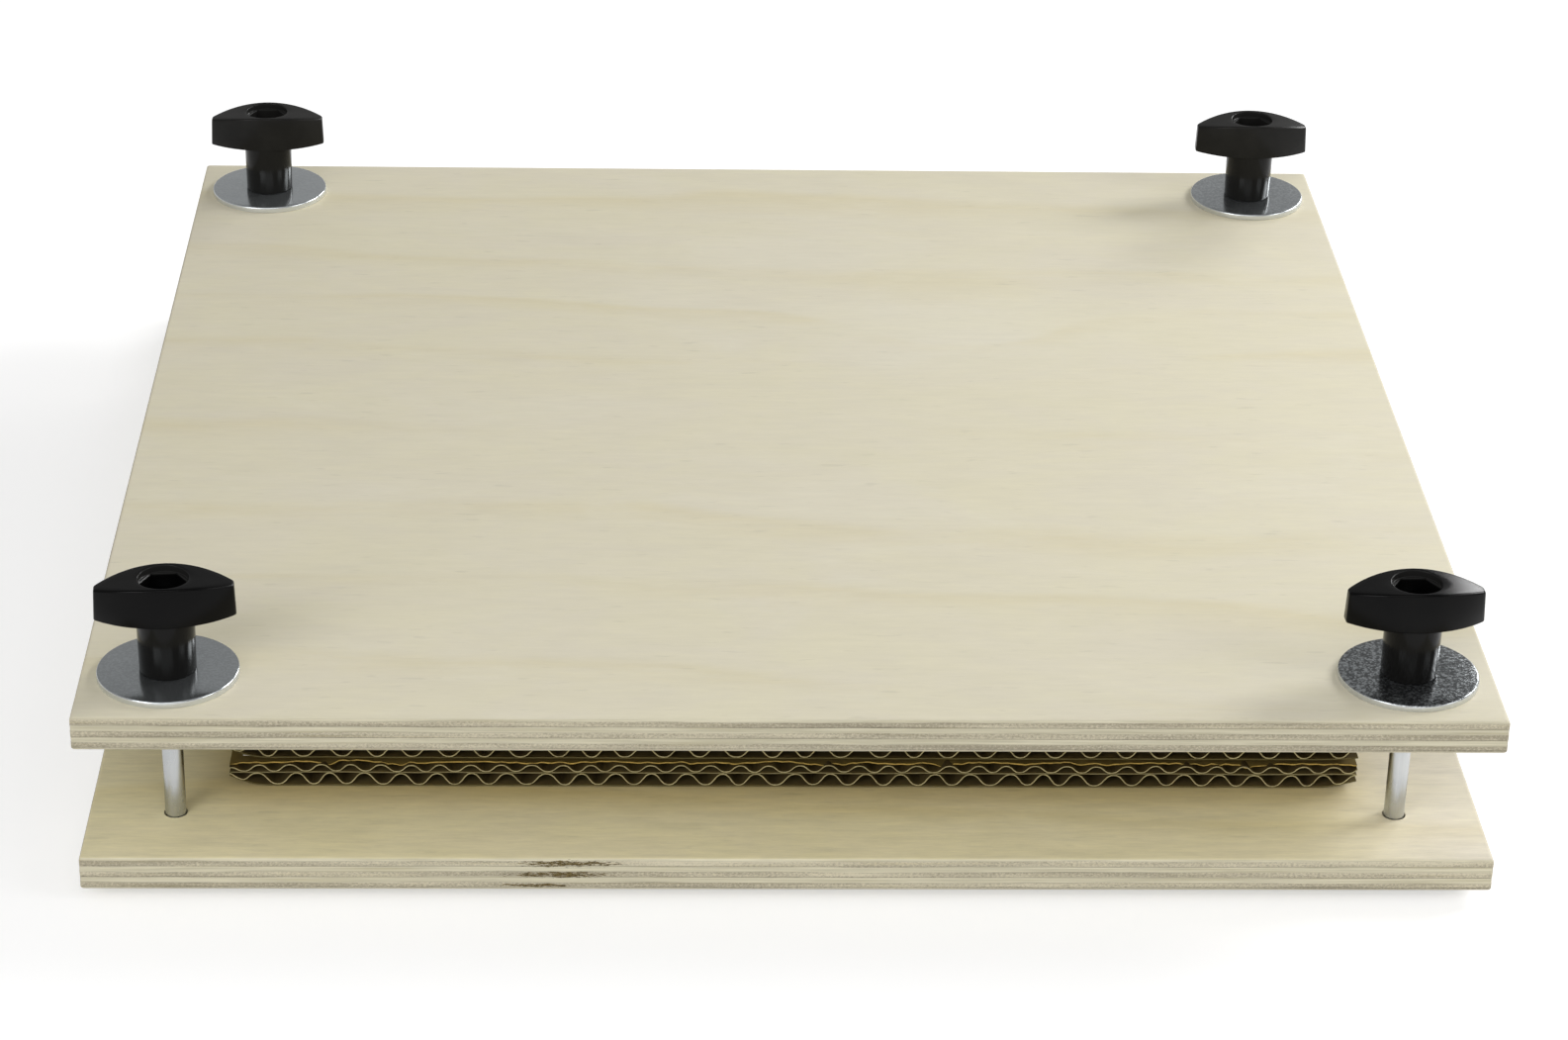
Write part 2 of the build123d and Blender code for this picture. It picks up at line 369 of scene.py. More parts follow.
def black_plastic(name, knob, dark, light, stem, stem_top, axis):
    """Moulded black plastic with a soft sheen, with painted light on the socket's ledge and a
    painted reflection on the stem.
    """
    f = new_finish(name)
    x, y, height = f.split(f.place)
    across, along = abs(x) - abs(axis.x), abs(y) - abs(axis.y)
    from_axis = (across * across + along * along) ** 0.5
    outside = from_axis.rise(knob.mouth / 2, knob.mouth / 2 + 0.3 * MM)
    mouth_z = stem_top + knob.wing_height - knob.mouth_depth
    # Painted light on the socket's ledge and the top of its walls.
    ledge = (1.0 - outside) * height.rise(mouth_z - 0.6 * MM, mouth_z - 0.1 * MM)
    grain = f.noise((1500.0, 1500.0, 1500.0), 2.0)
    cloud = f.noise((140.0, 140.0, 140.0), 3.0)
    colour = f.mix(cloud.rise(0.3, 0.7), dark, light)
    wing = height.rise(stem_top - 0.3 * MM, stem_top)
    # The stem takes a lighter colour as a painted reflection, and the ledge takes painted light.
    colour = f.mix(ledge, f.mix(wing, stem, colour), knob.socket_painted_light)
    rough = 0.1 + wing * 0.1 + cloud * 0.1
    return f.surface(Base_Color=colour, Roughness=rough, Normal=f.bump(grain, 0.06, 0.05 * MM),
                     Specular_IOR_Level=0.10)


def card_paper(name, half, paper, shaded_dark, shaded_light, cut_light_and_shade):
    """Kraft paper: cloudy recycled fibre, darker near the card's edges as painted shade, and paler
    where it is cut, partly as painted light.
    """
    f = new_finish(name)
    x, y = (abs(c) for c in f.split(f.place)[:2])
    ny = abs(f.split(f.facing)[1])
    fibre = f.noise((900.0, 260.0, 900.0), 4.0, 0.7)
    cloud = f.noise((90.0, 60.0, 90.0), 3.0)
    fleck = f.noise((520.0, 330.0, 520.0), 2.0)
    colour = f.mix(cloud.rise(0.3, 0.7) * 0.7 + fibre * 0.3, shaded_dark, shaded_light)
    unshaded = f.mix(cloud * 0.4 + fibre * 0.6, paper.kraft_dark, paper.kraft_light)
    # Painted shade: near the card's edges the sheets take darker colours, as between the cards; the
    # middle keeps the kraft's own colour.
    uneven = (cloud - 0.5) * (30 * MM)
    edge_shade = (x - half.x + uneven).most(y - half.y + uneven).rise(-28 * MM, -3 * MM)
    colour = f.mix(edge_shade, unshaded, colour)
    colour = f.mix((1.0 - fleck.rise(0.28, 0.36)) * 0.5, colour, shaded_dark)
    # Cut edges are paler fibre, partly real and partly painted light; the lower liner's cut is
    # darkened as painted shade.
    frayed = f.mix(fibre.rise(0.3, 0.7) * 0.5, cut_light_and_shade, shaded_light)
    colour = f.mix(ny.rise(0.5, 0.85), colour, frayed)
    rough = 0.72 + fibre * 0.2
    return f.surface(Base_Color=colour, Roughness=rough, Normal=f.bump(fibre, 0.25, 0.06 * MM),
                     Specular_IOR_Level=0.25)


def blotting_paper(look):
    """Soft unsized paper with short fibres."""
    f = new_finish("blotting_paper")
    felt = f.noise((1100.0, 1100.0, 1100.0), 4.0, 0.75)
    cloud = f.noise((45.0, 45.0, 45.0), 3.0)
    colour = f.mix(felt * 0.5 + cloud * 0.5, look.blotter_dark, look.blotter_light)
    rough = 0.85 + felt * 0.1
    return f.surface(Base_Color=colour, Roughness=rough, Normal=f.bump(felt, 0.3, 0.05 * MM),
                     Specular_IOR_Level=0.2)


# Settings

def size_prop(name, description, default_mm):
    return FloatProperty(name=name, description=description, default=default_mm * MM, min=0.0,
                         unit="LENGTH", precision=5)


def angle_prop(name, description, default_degrees):
    return FloatProperty(name=name, description=description, default=math.radians(default_degrees),
                         subtype="ANGLE")


def colour_prop(name, description, default):
    return FloatVectorProperty(name=name, description=description, default=default, size=3,
                               min=0.0, max=1.0, subtype="COLOR")


class BoardSettings(PropertyGroup):
    """Sizes and colours of the two plywood boards."""
    ply_count: IntProperty(name="Veneers", description="Veneers in each board", default=7, min=3)
    ply_relief: size_prop("End grain relief", "How far end grain is worn back on the edges", 0.06)
    edge_step: size_prop("Edge step", "Spacing of the points along the edges", 3.0)
    arris: size_prop("Arris", "Rounding of the edges", 0.9)
    corner: size_prop("Corner", "Rounding of the upright corners", 0.4)
    lower_hole: size_prop("Lower hole", "Diameter of the holes in the lower board", 5.1)
    upper_hole: size_prop("Upper hole", "Diameter of the holes in the upper board", 6.0)
    face_colour: colour_prop("Face", "Pale yellowish birch of the faces", (0.774, 0.722, 0.546))
    ring_colour: colour_prop("Rings", "Warm lines of late growth", (0.722, 0.645, 0.425))
    blush_colour: colour_prop("Blush", "Pinker patches of the faces", (0.758, 0.705, 0.564))
    pale_colour: colour_prop("Pale", "Whitish patches of the faces", (0.820, 0.780, 0.645))
    # Painted shade: the upper board's faces are toned down so that its lit top comes out no
    # brighter than wanted.
    upper_tint: colour_prop("Upper tint", "Tint of the upper board", (0.878, 0.880, 0.872))
    lower_tint: colour_prop("Lower tint", "Warm tint of the lower board", (1.000, 0.975, 0.815))
    # Painted light: the lower board's right end is greyer and less yellow, as if lit from the
    # right.
    painted_light_tint: colour_prop("Bare tint", "Lower board's greyer right end", (0.910, 0.906, 0.942))
    # Painted shade: warmer, darker wood under and next to the cards.
    painted_shade_tint: colour_prop("Covered tint", "Warmer wood under the cards", (0.920, 0.845, 0.680))
    long_edge_colour: colour_prop("Long edge", "Veneers cut along the grain", (0.590, 0.546, 0.396))
    end_edge_colour: colour_prop("End edge", "Veneers cut across the grain", (0.680, 0.622, 0.462))
    end_edge_dark: colour_prop("Pores", "Open pores and glue lines", (0.360, 0.320, 0.232))
    edge_streak: colour_prop("Edge streaks", "Thin dark lines on the edges", (0.520, 0.455, 0.270))
    stain_colour: colour_prop("Stain", "Bark in the lower front edge", (0.066, 0.043, 0.009))
    stain_light: colour_prop("Light stain", "Paler bark there", (0.185, 0.132, 0.042))


class MetalSettings(PropertyGroup):
    """Sizes and colours of the bolts, washers and nuts."""
    shank: size_prop("Shank", "Diameter of the plain shank", 4.48)
    thread: size_prop("Thread", "Outer diameter of the thread", 4.9)
    thread_core: size_prop("Thread core", "Diameter at the root of the thread", 4.1)
    thread_length: size_prop("Thread length", "Length of the thread below the tip", 16.0)
    pitch: size_prop("Pitch", "Rise of the thread in a turn", 0.8)
    head_height: size_prop("Head height", "Height of the domed head", 3.0)
    neck: size_prop("Neck", "Width of the square neck", 5.0)
    neck_length: size_prop("Neck length", "Length of the square neck", 3.5)
    washer_hole: size_prop("Washer hole", "Diameter of the hole in a washer", 5.3)
    washer_roll: size_prop("Washer roll", "Rounding of a washer's upper rim", 0.4)
    zinc_tint: colour_prop("Tint", "Bluish cast of the plating", (0.920, 0.975, 1.000))
    # Painted highlight on the washers' rims.
    rim_highlight: colour_prop("Rim", "Bare bright rims", (0.760, 0.785, 0.800))
    rod_dark: colour_prop("Dark rod", "Darker streaks of the rods", (0.420, 0.435, 0.445))
    rod_light: colour_prop("Light rod", "Lighter streaks of the rods", (0.650, 0.660, 0.650))


class KnobSettings(PropertyGroup):
    """Sizes and colours of the wing knobs."""
    wing_length: size_prop("Wing length", "Length of the wing at its foot", 29.6)
    wing_width: size_prop("Wing width", "Width of the wing at its foot", 12.99)
    wing_end: size_prop("Wing end", "Width of the wing's ends", 2.8)
    wing_end_height: size_prop("Wing end height", "Height of the wing's ends", 6.95)
    wing_height: size_prop("Wing height", "Height of the wing in the middle", 9.05)
    wing_draft: angle_prop("Wing draft", "Lean of the wing's walls", 2.0)
    stem_height: size_prop("Stem height", "Height of the stem under the wing", 12.55)
    stem_top: size_prop("Stem top", "Diameter of the stem under the wing", 12.39)
    stem_foot: size_prop("Stem foot", "Diameter of the stem at its foot", 11.96)
    mouth: size_prop("Mouth", "Diameter of the round recess in the top", 10.59)
    mouth_depth: size_prop("Mouth depth", "Depth of the round recess", 1.6)
    socket_flats: size_prop("Socket flats", "Width across the flats of the nut's seat", 8.1)
    socket_draft: angle_prop("Socket draft", "Lean of the socket's walls above the nut", 2.5)
    floor: size_prop("Floor", "Plastic under the nut", 4.0)
    nut_height: size_prop("Nut height", "Height of the nut", 4.0)
    bore: size_prop("Bore", "Diameter of the hole for the bolt", 5.3)
    plastic_dark: colour_prop("Dark plastic", "Darker plastic", (0.0014, 0.0014, 0.0015))
    plastic_light: colour_prop("Light plastic", "Lighter plastic", (0.0028, 0.0027, 0.0026))
    # Painted reflection: the front knobs' stems are lighter than their wings.
    stem_painted_reflection: colour_prop("Stem", "Plastic of the front knobs' stems", (0.0080, 0.0078, 0.0074))
    # Painted light on the sockets' ledges.
    socket_painted_light: colour_prop("Socket", "Dust on the sockets' ledges", (0.0160, 0.0158, 0.0150))
    # Painted reflection: the back knobs' plastic is lighter for the light it reflects.
    painted_sheen_dark: colour_prop("Dusty plastic", "Plastic of the back knobs", (0.0115, 0.0112, 0.0105))
    painted_sheen_light: colour_prop("Light dust", "More dust on the back knobs", (0.0160, 0.0155, 0.0145))


class PaperSettings(PropertyGroup):
    """Sizes and colours of the corrugated cards and blotting sheets."""
    liner: size_prop("Liner", "Thickness of a flat liner", 0.3)
    flute_paper: size_prop("Fluting", "Thickness of the fluted paper", 0.26)
    tall_height: size_prop("Tall flutes", "Height of the tall flutes", 3.1)
    tall_pitch: size_prop("Tall pitch", "Pitch of the tall flutes", 7.75)
    short_height: size_prop("Short flutes", "Height of the short flutes", 1.9)
    short_pitch: size_prop("Short pitch", "Pitch of the short flutes", 6.48)
    flute_wander: size_prop("Flute wander", "How far the flutes stray from an even pitch", 1.1)
    crush_reach: size_prop("Crush reach", "How far in the cut ends are crushed", 8.0)
    ragged: size_prop("Ragged", "How far the cut edges wander", 0.35)
    kraft_dark: colour_prop("Dark kraft", "Dark fibre in a card's middle", (0.245, 0.178, 0.074))
    kraft_light: colour_prop("Light kraft", "Light fibre in a card's middle", (0.335, 0.250, 0.116))
    # Painted shade: the liners' and fluting's darker colours near the card's edges, where the cards
    # shade each other.
    liner_dark: colour_prop("Dark liner", "Inner liners' darker patches", (0.107, 0.076, 0.026))
    liner_light: colour_prop("Light liner", "Inner liners' lighter patches", (0.177, 0.132, 0.049))
    outer_dark: colour_prop("Dark upper liner", "Its darker patches", (0.140, 0.098, 0.023))
    outer_light: colour_prop("Light upper liner", "Its lighter patches", (0.225, 0.162, 0.044))
    flute_dark: colour_prop("Dark fluting", "Its darker patches", (0.065, 0.043, 0.015))
    flute_light: colour_prop("Light fluting", "Its lighter patches", (0.126, 0.091, 0.030))
    # Cut edges: partly the paler cut fibre, partly painted light and shade; the lower liner's cut
    # is dark as painted shade, while the upper liner's and the fluting's are bright as painted
    # light.
    under_cut: colour_prop("Lower cut", "Lower liner where it is cut", (0.121, 0.104, 0.041))
    liner_cut: colour_prop("Middle cut", "Middle liner where it is cut", (0.279, 0.246, 0.131))
    outer_cut: colour_prop("Upper cut", "Torn edge of the upper liner", (0.800, 0.560, 0.150))
    flute_cut: colour_prop("Fluting cut", "Fluting where it is cut", (0.632, 0.567, 0.320))
    blotter_dark: colour_prop("Dark blotter", "Darker felt of the sheets", (0.560, 0.520, 0.430))
    blotter_light: colour_prop("Light blotter", "Lighter felt of the sheets", (0.720, 0.690, 0.600))


class StageSettings(PropertyGroup):
    """Camera, lights and floor."""
    lens: FloatProperty(name="Lens", description="Focal length on a 36 mm sensor", default=93.606,
                        unit="CAMERA")
    eye: FloatVectorProperty(name="Eye", description="Place of the camera",
                             default=(-0.03350, -0.88366, 0.46954), subtype="TRANSLATION")
    yaw: angle_prop("Yaw", "Turn of the camera about Z", -2.368)
    pitch: angle_prop("Pitch", "How far the camera looks down", 27.234)
    roll: angle_prop("Roll", "Roll of the camera", 1.347)
    floor_colour: colour_prop("Floor", "Pale floor", (0.66, 0.66, 0.66))
    floor_lift: FloatProperty(name="Floor lift", default=0.50,
                              description="Light that the camera sees in the floor")
    sky: FloatProperty(name="Sky", description="Level of the light from all round", default=0.36)


# Boards

HOLE_SEGMENTS = 40


def board_levels(low, high, look):
    """Heights from the bottom face up, each with how far the long sides and the ends stand back."""
    thick = veneer(low, high, look)
    levels = []
    for a in QUARTER_TURN:
        back = look.arris * (1 - math.sin(a))
        levels.append((low.z + look.arris * (1 - math.cos(a)), back, back))
    for ply in range(look.ply_count):
        relief_x, relief_y = (look.ply_relief, 0.0) if ply % 2 == 0 else (0.0, look.ply_relief)
        first = low.z + max((ply - 0.5) * thick, look.arris)
        last = min(low.z + (ply + 0.5) * thick, high.z - look.arris)
        if first < last:
            levels.append((first, relief_x, relief_y))
            levels.append((last, relief_x, relief_y))
    for a in reversed(QUARTER_TURN):
        back = look.arris * (1 - math.sin(a))
        levels.append((high.z - look.arris * (1 - math.cos(a)), back, back))
    return levels


def board_mesh(low, high, hole, centres, look, seed):
    """A board with four holes, drawn up veneer by veneer from its plan."""
    half = (high - low) / 2
    rim_share = 0.98

    def rim_of(verts):
        """The points along the board's outline, and not round its holes."""
        return [v for v in verts if max(abs(v.co.x) / half.x, abs(v.co.y) / half.y) > rim_share]

    bm = bmesh.new()
    bmesh.ops.create_grid(bm, x_segments=1, y_segments=1, size=1.0)
    bmesh.ops.scale(bm, verts=bm.verts, vec=(half.x, half.y, 1.0))
    round_points(bm, bm.verts[:], look.corner)
    bmesh.ops.delete(bm, geom=bm.faces[:], context="FACES_ONLY")
    sides = [e for e in bm.edges if e.calc_length() > half.x]
    bmesh.ops.subdivide_edges(bm, edges=sides, cuts=round(2 * half.x / look.edge_step) - 1)
    for centre in centres:
        bmesh.ops.create_circle(bm, cap_ends=False, segments=HOLE_SEGMENTS, radius=hole / 2,
                                matrix=Matrix.Translation((centre.x, centre.y, 0.0)))
    bmesh.ops.triangle_fill(bm, use_beauty=True, use_dissolve=False, edges=bm.edges[:],
                            normal=(0, 0, 1))
    levels = board_levels(low, high, look)
    cap = bm.faces[:]
    level_z, back_x, back_y = levels[0]
    bmesh.ops.translate(bm, verts=bm.verts, vec=(0, 0, level_z))
    bmesh.ops.scale(bm, verts=rim_of(bm.verts),
                    vec=((half.x - back_x) / half.x, (half.y - back_y) / half.y, 1.0))
    for z, next_x, next_y in levels[1:]:
        made = bmesh.ops.extrude_face_region(bm, geom=cap)
        cap = made_geom(made, BMFace)
        raised = made_geom(made, BMVert)
        bmesh.ops.translate(bm, verts=raised, vec=(0, 0, z - level_z))
        bmesh.ops.scale(bm, verts=rim_of(raised), vec=((half.x - next_x) / (half.x - back_x),
                                                       (half.y - next_y) / (half.y - back_y), 1.0))
        level_z, back_x, back_y = z, next_x, next_y
    wear_depth = 0.05 * MM
    for v in bm.verts:
        wear = drift(v.co.x * 160 + seed, v.co.y * 160, v.co.z * 700) * wear_depth
        if abs(v.co.x) > rim_share * half.x:
            v.co.x -= math.copysign(abs(wear), v.co.x)
        if abs(v.co.y) > rim_share * half.y:
            v.co.y -= math.copysign(abs(wear), v.co.y)
    return bm


class PRESS_OT_boards(Operator):
    """Make the two plywood boards"""
    bl_idname = "press.boards"
    bl_label = "Boards"

    def execute(self, context):
        look = context.scene.press_boards
        centres = [node_middle("bolt_" + c) for c in CORNERS]
        low, high = node_box("lower_board")
        thick = veneer(low, high, look)
        # Bark: its middle and reach along X, then its height and half its thickness
        stains = [(-47.0 * MM, 10.5 * MM, low.z + 4.95 * thick, 0.80 * MM),
                  (-49.0 * MM, 10.5 * MM, low.z + 2.95 * thick, 0.80 * MM),
                  (-54.0 * MM, 8.0 * MM, low.z + 0.95 * thick, 0.45 * MM)]
        tints = (look.lower_tint, look.painted_light_tint, look.painted_shade_tint)
        # edge_level: the lower board's edges are lifted and the upper board's dimmed, as painted
        # light for how each is lit.
        finish = plywood("plywood_lower", low, high, look, tints, contrast=2.0, edge_level=1.07,
                         stains=stains)
        bm = board_mesh(low, high, look.lower_hole, centres, look, seed=3.0)
        new_piece(bm, "ply_board_lower", "base", ["lower_board"], [finish])
        low, high = node_box("upper_board")
        no_tint = (1.0, 1.0, 1.0)
        tints = (look.upper_tint, look.upper_tint, no_tint)
        finish = plywood("plywood_upper", low, high, look, tints, contrast=0.75, edge_level=0.97)
        bm = board_mesh(low, high, look.upper_hole, centres, look, seed=17.0)
        new_piece(bm, "ply_board_upper", "press_plate", ["upper_board"], [finish])
        return {"FINISHED"}


# Bolts, washers and nuts

BOLT_SEGMENTS = 48
THREAD_STEPS = 24
WASHER_SEGMENTS = 96
# Each washer's zinc: how bright it is, partly a painted reflection of its surroundings, and how far
# its crystals show.
WASHER_ZINC = {"front_left": (0.47, 0.10), "front_right": (0.315, 0.85), "back_left": (0.62, 0.06),
               "back_right": (0.52, 0.20)}


def bolt_mesh(low, high, metal):
    """A carriage bolt: domed head, square neck, plain shank and a cut thread."""
    head = (high.x - low.x) / 2
    rim, flat = 0.5 * MM, 2.0 * MM
    edge_break, run_out, chamfer = 0.15 * MM, 0.3 * MM, 0.5 * MM
    dome = metal.head_height - rim
    drop = (head ** 2 + dome ** 2 - flat ** 2) / (2 * dome)
    radius = math.hypot(flat, drop)
    first, last = math.atan2(flat, drop), math.atan2(head, drop - dome)
    dome_steps = 8
    arc = [first + (last - first) * i / dome_steps for i in range(dome_steps + 1)]
    core, shank = metal.thread_core / 2, metal.shank / 2
    thread_z = high.z - metal.thread_length
    points = [(0.0, 0.0)]
    points += [(radius * math.sin(a), drop - radius * math.cos(a)) for a in arc]
    points += [(head, metal.head_height - edge_break), (head - edge_break, metal.head_height),
               (shank, metal.head_height), (shank, thread_z - run_out), (core, thread_z),
               (core, high.z - chamfer), (core - chamfer, high.z), (0.0, high.z)]
    bm = bmesh.new()
    turn_profile(bm, profile_edges(bm, points), BOLT_SEGMENTS)
    neck = Matrix.Translation((0, 0, metal.head_height + metal.neck_length / 2))
    neck = neck @ Matrix.Diagonal((metal.neck, metal.neck, metal.neck_length, 1.0))
    bmesh.ops.create_cube(bm, size=1.0, matrix=neck)
    turns = round((metal.thread_length - 2 * metal.pitch) / metal.pitch)
    foot = thread_z + metal.pitch / 2
    inner, outer = core - 0.05 * MM, metal.thread / 2
    root_half, crest_half = 0.42 * metal.pitch, 0.08 * metal.pitch
    corners = [(inner, foot - root_half), (outer, foot - crest_half),
               (outer, foot + crest_half), (inner, foot + root_half)]
    ridge = bm.faces.new([bm.verts.new((r, 0, z)) for r, z in corners])
    bmesh.ops.spin(bm, geom=[ridge], cent=(0, 0, 0), axis=(0, 0, 1),
                   dvec=(0, 0, metal.pitch / THREAD_STEPS), angle=math.tau * turns,
                   steps=THREAD_STEPS * turns, use_merge=False, use_normal_flip=False,
                   use_duplicate=False)
    stand_on_axis(bm, low, high)
    return bm


def washer_mesh(low, high, metal):
    """A punched washer, its upper rim rolled round and its lower one nearly sharp."""
    outer, inner = (high.x - low.x) / 2, metal.washer_hole / 2
    bm = bmesh.new()
    corners = [(inner, low.z), (outer, low.z), (outer, high.z), (inner, high.z)]
    verts = [bm.verts.new((r, 0, z)) for r, z in corners]
    bm.faces.new(verts)
    roll_shares = (0.3, 0.3, 1.0, 0.5)
    for vert, share in zip(verts, roll_shares):
        round_points(bm, [vert], metal.washer_roll * share)
    bmesh.ops.delete(bm, geom=bm.faces[:], context="FACES_ONLY")
    turn_profile(bm, bm.verts[:] + bm.edges[:], WASHER_SEGMENTS)
    stand_on_axis(bm, low, high)
    return bm


class PRESS_OT_bolts(Operator):
    """Make the four carriage bolts"""
    bl_idname = "press.bolts"
    bl_label = "Bolts"

    def execute(self, context):
        metal = context.scene.press_metal
        finish = zinc_rod(metal)
        for corner in CORNERS:
            node = "bolt_" + corner
            bm = bolt_mesh(*node_box(node), metal)
            new_piece(bm, "carriage_" + node, "base", [node], [finish])
        return {"FINISHED"}


class PRESS_OT_washers(Operator):
    """Make the four penny washers"""
    bl_idname = "press.washers"
    bl_label = "Washers"

    def execute(self, context):
        metal = context.scene.press_metal
        for corner, (level, spangle) in WASHER_ZINC.items():
            node = "washer_" + corner
            finish = zinc_plate("zinc_" + node, metal, level, spangle)
            bm = washer_mesh(*node_box(node), metal)
            new_piece(bm, "penny_" + node, "press_plate", [node], [finish])
        return {"FINISHED"}


class PRESS_OT_nuts(Operator):
    """Finish the four nuts, whose CAD shape stays"""
    bl_idname = "press.nuts"
    bl_label = "Nuts"

    def execute(self, context):
        finish = zinc_plate("zinc_nut", context.scene.press_metal, level=0.55, spangle=0.3)
        for corner in CORNERS:
            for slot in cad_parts["nut_" + corner].material_slots:
                slot.material = finish
        return {"FINISHED"}


# Knobs

KNOB_SEGMENTS = 144
# How far each knob is turned at rest, in degrees, anticlockwise seen from above.
KNOB_TURNS = {"front_left": 5.2, "front_right": 1.5, "back_left": 2.4, "back_right": -0.2}


def lens_reach(angle, inset, knob):
    """How far the wing's outline lies from its middle in a direction."""
    long_half = knob.wing_length / 2 - inset
    wide_half = knob.wing_width / 2 - inset
    end_half = knob.wing_end / 2 - inset
    bow = ((wide_half - end_half) ** 2 + long_half ** 2) / (2 * (wide_half - end_half))
    centre = wide_half - bow
    across, along = abs(math.sin(angle)), abs(math.cos(angle))
    arc = across * centre + math.sqrt((across * centre) ** 2 - centre ** 2 + bow ** 2)
    end = long_half / max(along, 1e-6)
    soft = 0.14 * MM
    nearest = min(arc, end)
    return nearest - soft * math.log(sum(math.exp(-(r - nearest) / soft) for r in (arc, end)))


def hex_reach(angle, flats):
    """How far a hexagon's outline lies from its middle in a direction."""
    return flats / 2 / math.cos(angle % (math.pi / 3) - math.pi / 6)


def knob_rings(knob):
    """The knob's outlines, from its bore up the socket, over the wing and down the stem."""
    end_x = knob.wing_length / 2
    rise = knob.wing_height - knob.wing_end_height
    crown_radius = (end_x ** 2 + rise ** 2) / (2 * rise)
    base = knob.stem_height
    mouth_z = base + knob.wing_height - knob.mouth_depth
    seat_top = knob.floor + knob.nut_height
    mouth_flats = knob.socket_flats + 2 * (mouth_z - seat_top) * math.tan(knob.socket_draft)
    roll, lip, under, foot = 0.45 * MM, 0.3 * MM, 0.3 * MM, 0.3 * MM
    fillet, corner_cut = 0.12 * MM, 0.09 * MM
    mouth = knob.mouth / 2
    stem_top, stem_foot = knob.stem_top / 2, knob.stem_foot / 2

    def crown(x):
        drop = crown_radius - math.sqrt(crown_radius ** 2 - min(abs(x), end_x) ** 2)
        return base + knob.wing_height - drop

    def circle(radius, height):
        return lambda a: (radius, height)

    def hexagon(flats, height):
        return lambda a: (hex_reach(a, flats), height)

    def on_crown(reach, below):
        return lambda a: (reach(a), crown(reach(a) * math.cos(a)) - below)

    def wing(inset, below):
        lean = (knob.wing_end_height - below) * math.tan(knob.wing_draft)
        return on_crown(lambda a: lens_reach(a, lean + inset, knob), below)

    rings = [circle(knob.bore / 2, 0.0), circle(knob.bore / 2, knob.floor)]
    rings += [hexagon(knob.socket_flats, z) for z in (knob.floor, seat_top)]
    rings += [hexagon(mouth_flats, mouth_z - 0.2 * MM), hexagon(mouth_flats + 0.4 * MM, mouth_z)]
    rings += [circle(mouth - fillet, mouth_z), circle(mouth, mouth_z + fillet)]
    rings += [on_crown(lambda a, s=s: mouth + lip * (1 - math.sin(s)), lip * (1 - math.cos(s)))
              for s in map(math.radians, (90, 60, 30, 0))]
    outer = wing(roll, 0.0)
    for share in (0.25, 0.5, 0.75):
        rings.append(on_crown(lambda a, s=share: (1 - s) * (mouth + lip) + s * outer(a)[0], 0.0))
    for s in QUARTER_TURN:
        rings.append(wing(roll * (1 - math.sin(s)), roll * (1 - math.cos(s))))
    for inset, above in ((0.0, under), (corner_cut, corner_cut), (under, 0.0)):
        rings.append(lambda a, i=inset, z=base + above: (lens_reach(a, i, knob), z))
    rings += [circle(stem_top, base), circle(stem_top - 0.05 * MM, base - 0.4 * MM)]
    rings += [circle(stem_foot, foot), circle(stem_foot - corner_cut, corner_cut),
              circle(stem_foot - foot, 0.0)]
    return rings


def gathered_angle(even):
    """Gathers even directions towards the wing's ends, with one on each corner of the socket."""
    gather = 0.34
    angle = even - gather * math.sin(2 * even)
    spacing = math.tau / KNOB_SEGMENTS * (1 - 2 * gather * math.cos(2 * even))
    corner = round(angle / (math.pi / 3)) * math.pi / 3
    return corner if abs(angle - corner) < spacing / 2 else angle


def place_ring(verts, outline):
    """Moves a ring's points onto an outline, each in its own direction."""
    for v in verts:
        angle = math.atan2(v.co.y, v.co.x)
        radius, height = outline(angle)
        v.co = (radius * math.cos(angle), radius * math.sin(angle), height)


def knob_mesh(foot, turn, knob):
    """A wing knob drawn as one skin, ring after ring, and closed at its foot."""
    bm = bmesh.new()
    rings = knob_rings(knob)
    bmesh.ops.create_circle(bm, cap_ends=False, segments=KNOB_SEGMENTS, radius=knob.bore / 2)
    for v in bm.verts:
        angle = gathered_angle(math.atan2(v.co.y, v.co.x))
        v.co.x, v.co.y = math.cos(angle), math.sin(angle)
    first = bm.edges[:]
    place_ring(bm.verts, rings[0])
    ring = first
    for outline in rings[1:]:
        made = bmesh.ops.extrude_edge_only(bm, edges=ring)
        new = set(made_geom(made, BMVert))
        place_ring(new, outline)
        ring = [e for e in made_geom(made, BMEdge) if new.issuperset(e.verts)]
    bmesh.ops.bridge_loops(bm, edges=first + ring)
    place = Matrix.Translation(foot) @ Matrix.Rotation(math.radians(turn), 4, "Z")
    bmesh.ops.transform(bm, matrix=place, verts=bm.verts)
    return bm


class PRESS_OT_knobs(Operator):
    """Make the four wing knobs"""
    bl_idname = "press.knobs"
    bl_label = "Knobs"

    def execute(self, context):
        knob = context.scene.press_knobs
        foot_z = node_box("knob_front_left")[0].z
        axis = node_middle("bolt_front_left")
        unshaded = black_plastic("black_plastic", knob, knob.plastic_dark, knob.plastic_light,
                              knob.stem_painted_reflection, foot_z + knob.stem_height, axis)
        back_painted_sheen = black_plastic("black_plastic_painted_sheen", knob, knob.painted_sheen_dark, knob.painted_sheen_light,
                              knob.painted_sheen_dark, foot_z + knob.stem_height, axis)
        for corner in CORNERS:
            node = "knob_" + corner
            # The back knobs take the plastic with the painted reflection.
            finish = back_painted_sheen if corner.startswith("back") else unshaded
            foot = node_middle("bolt_" + corner)
            foot.z = node_box(node)[0].z
            bm = knob_mesh(foot, KNOB_TURNS[corner], knob)
            new_piece(bm, "wing_" + node, corner + "_knob", [node], [finish])
        return {"FINISHED"}


# Cards and blotting sheets

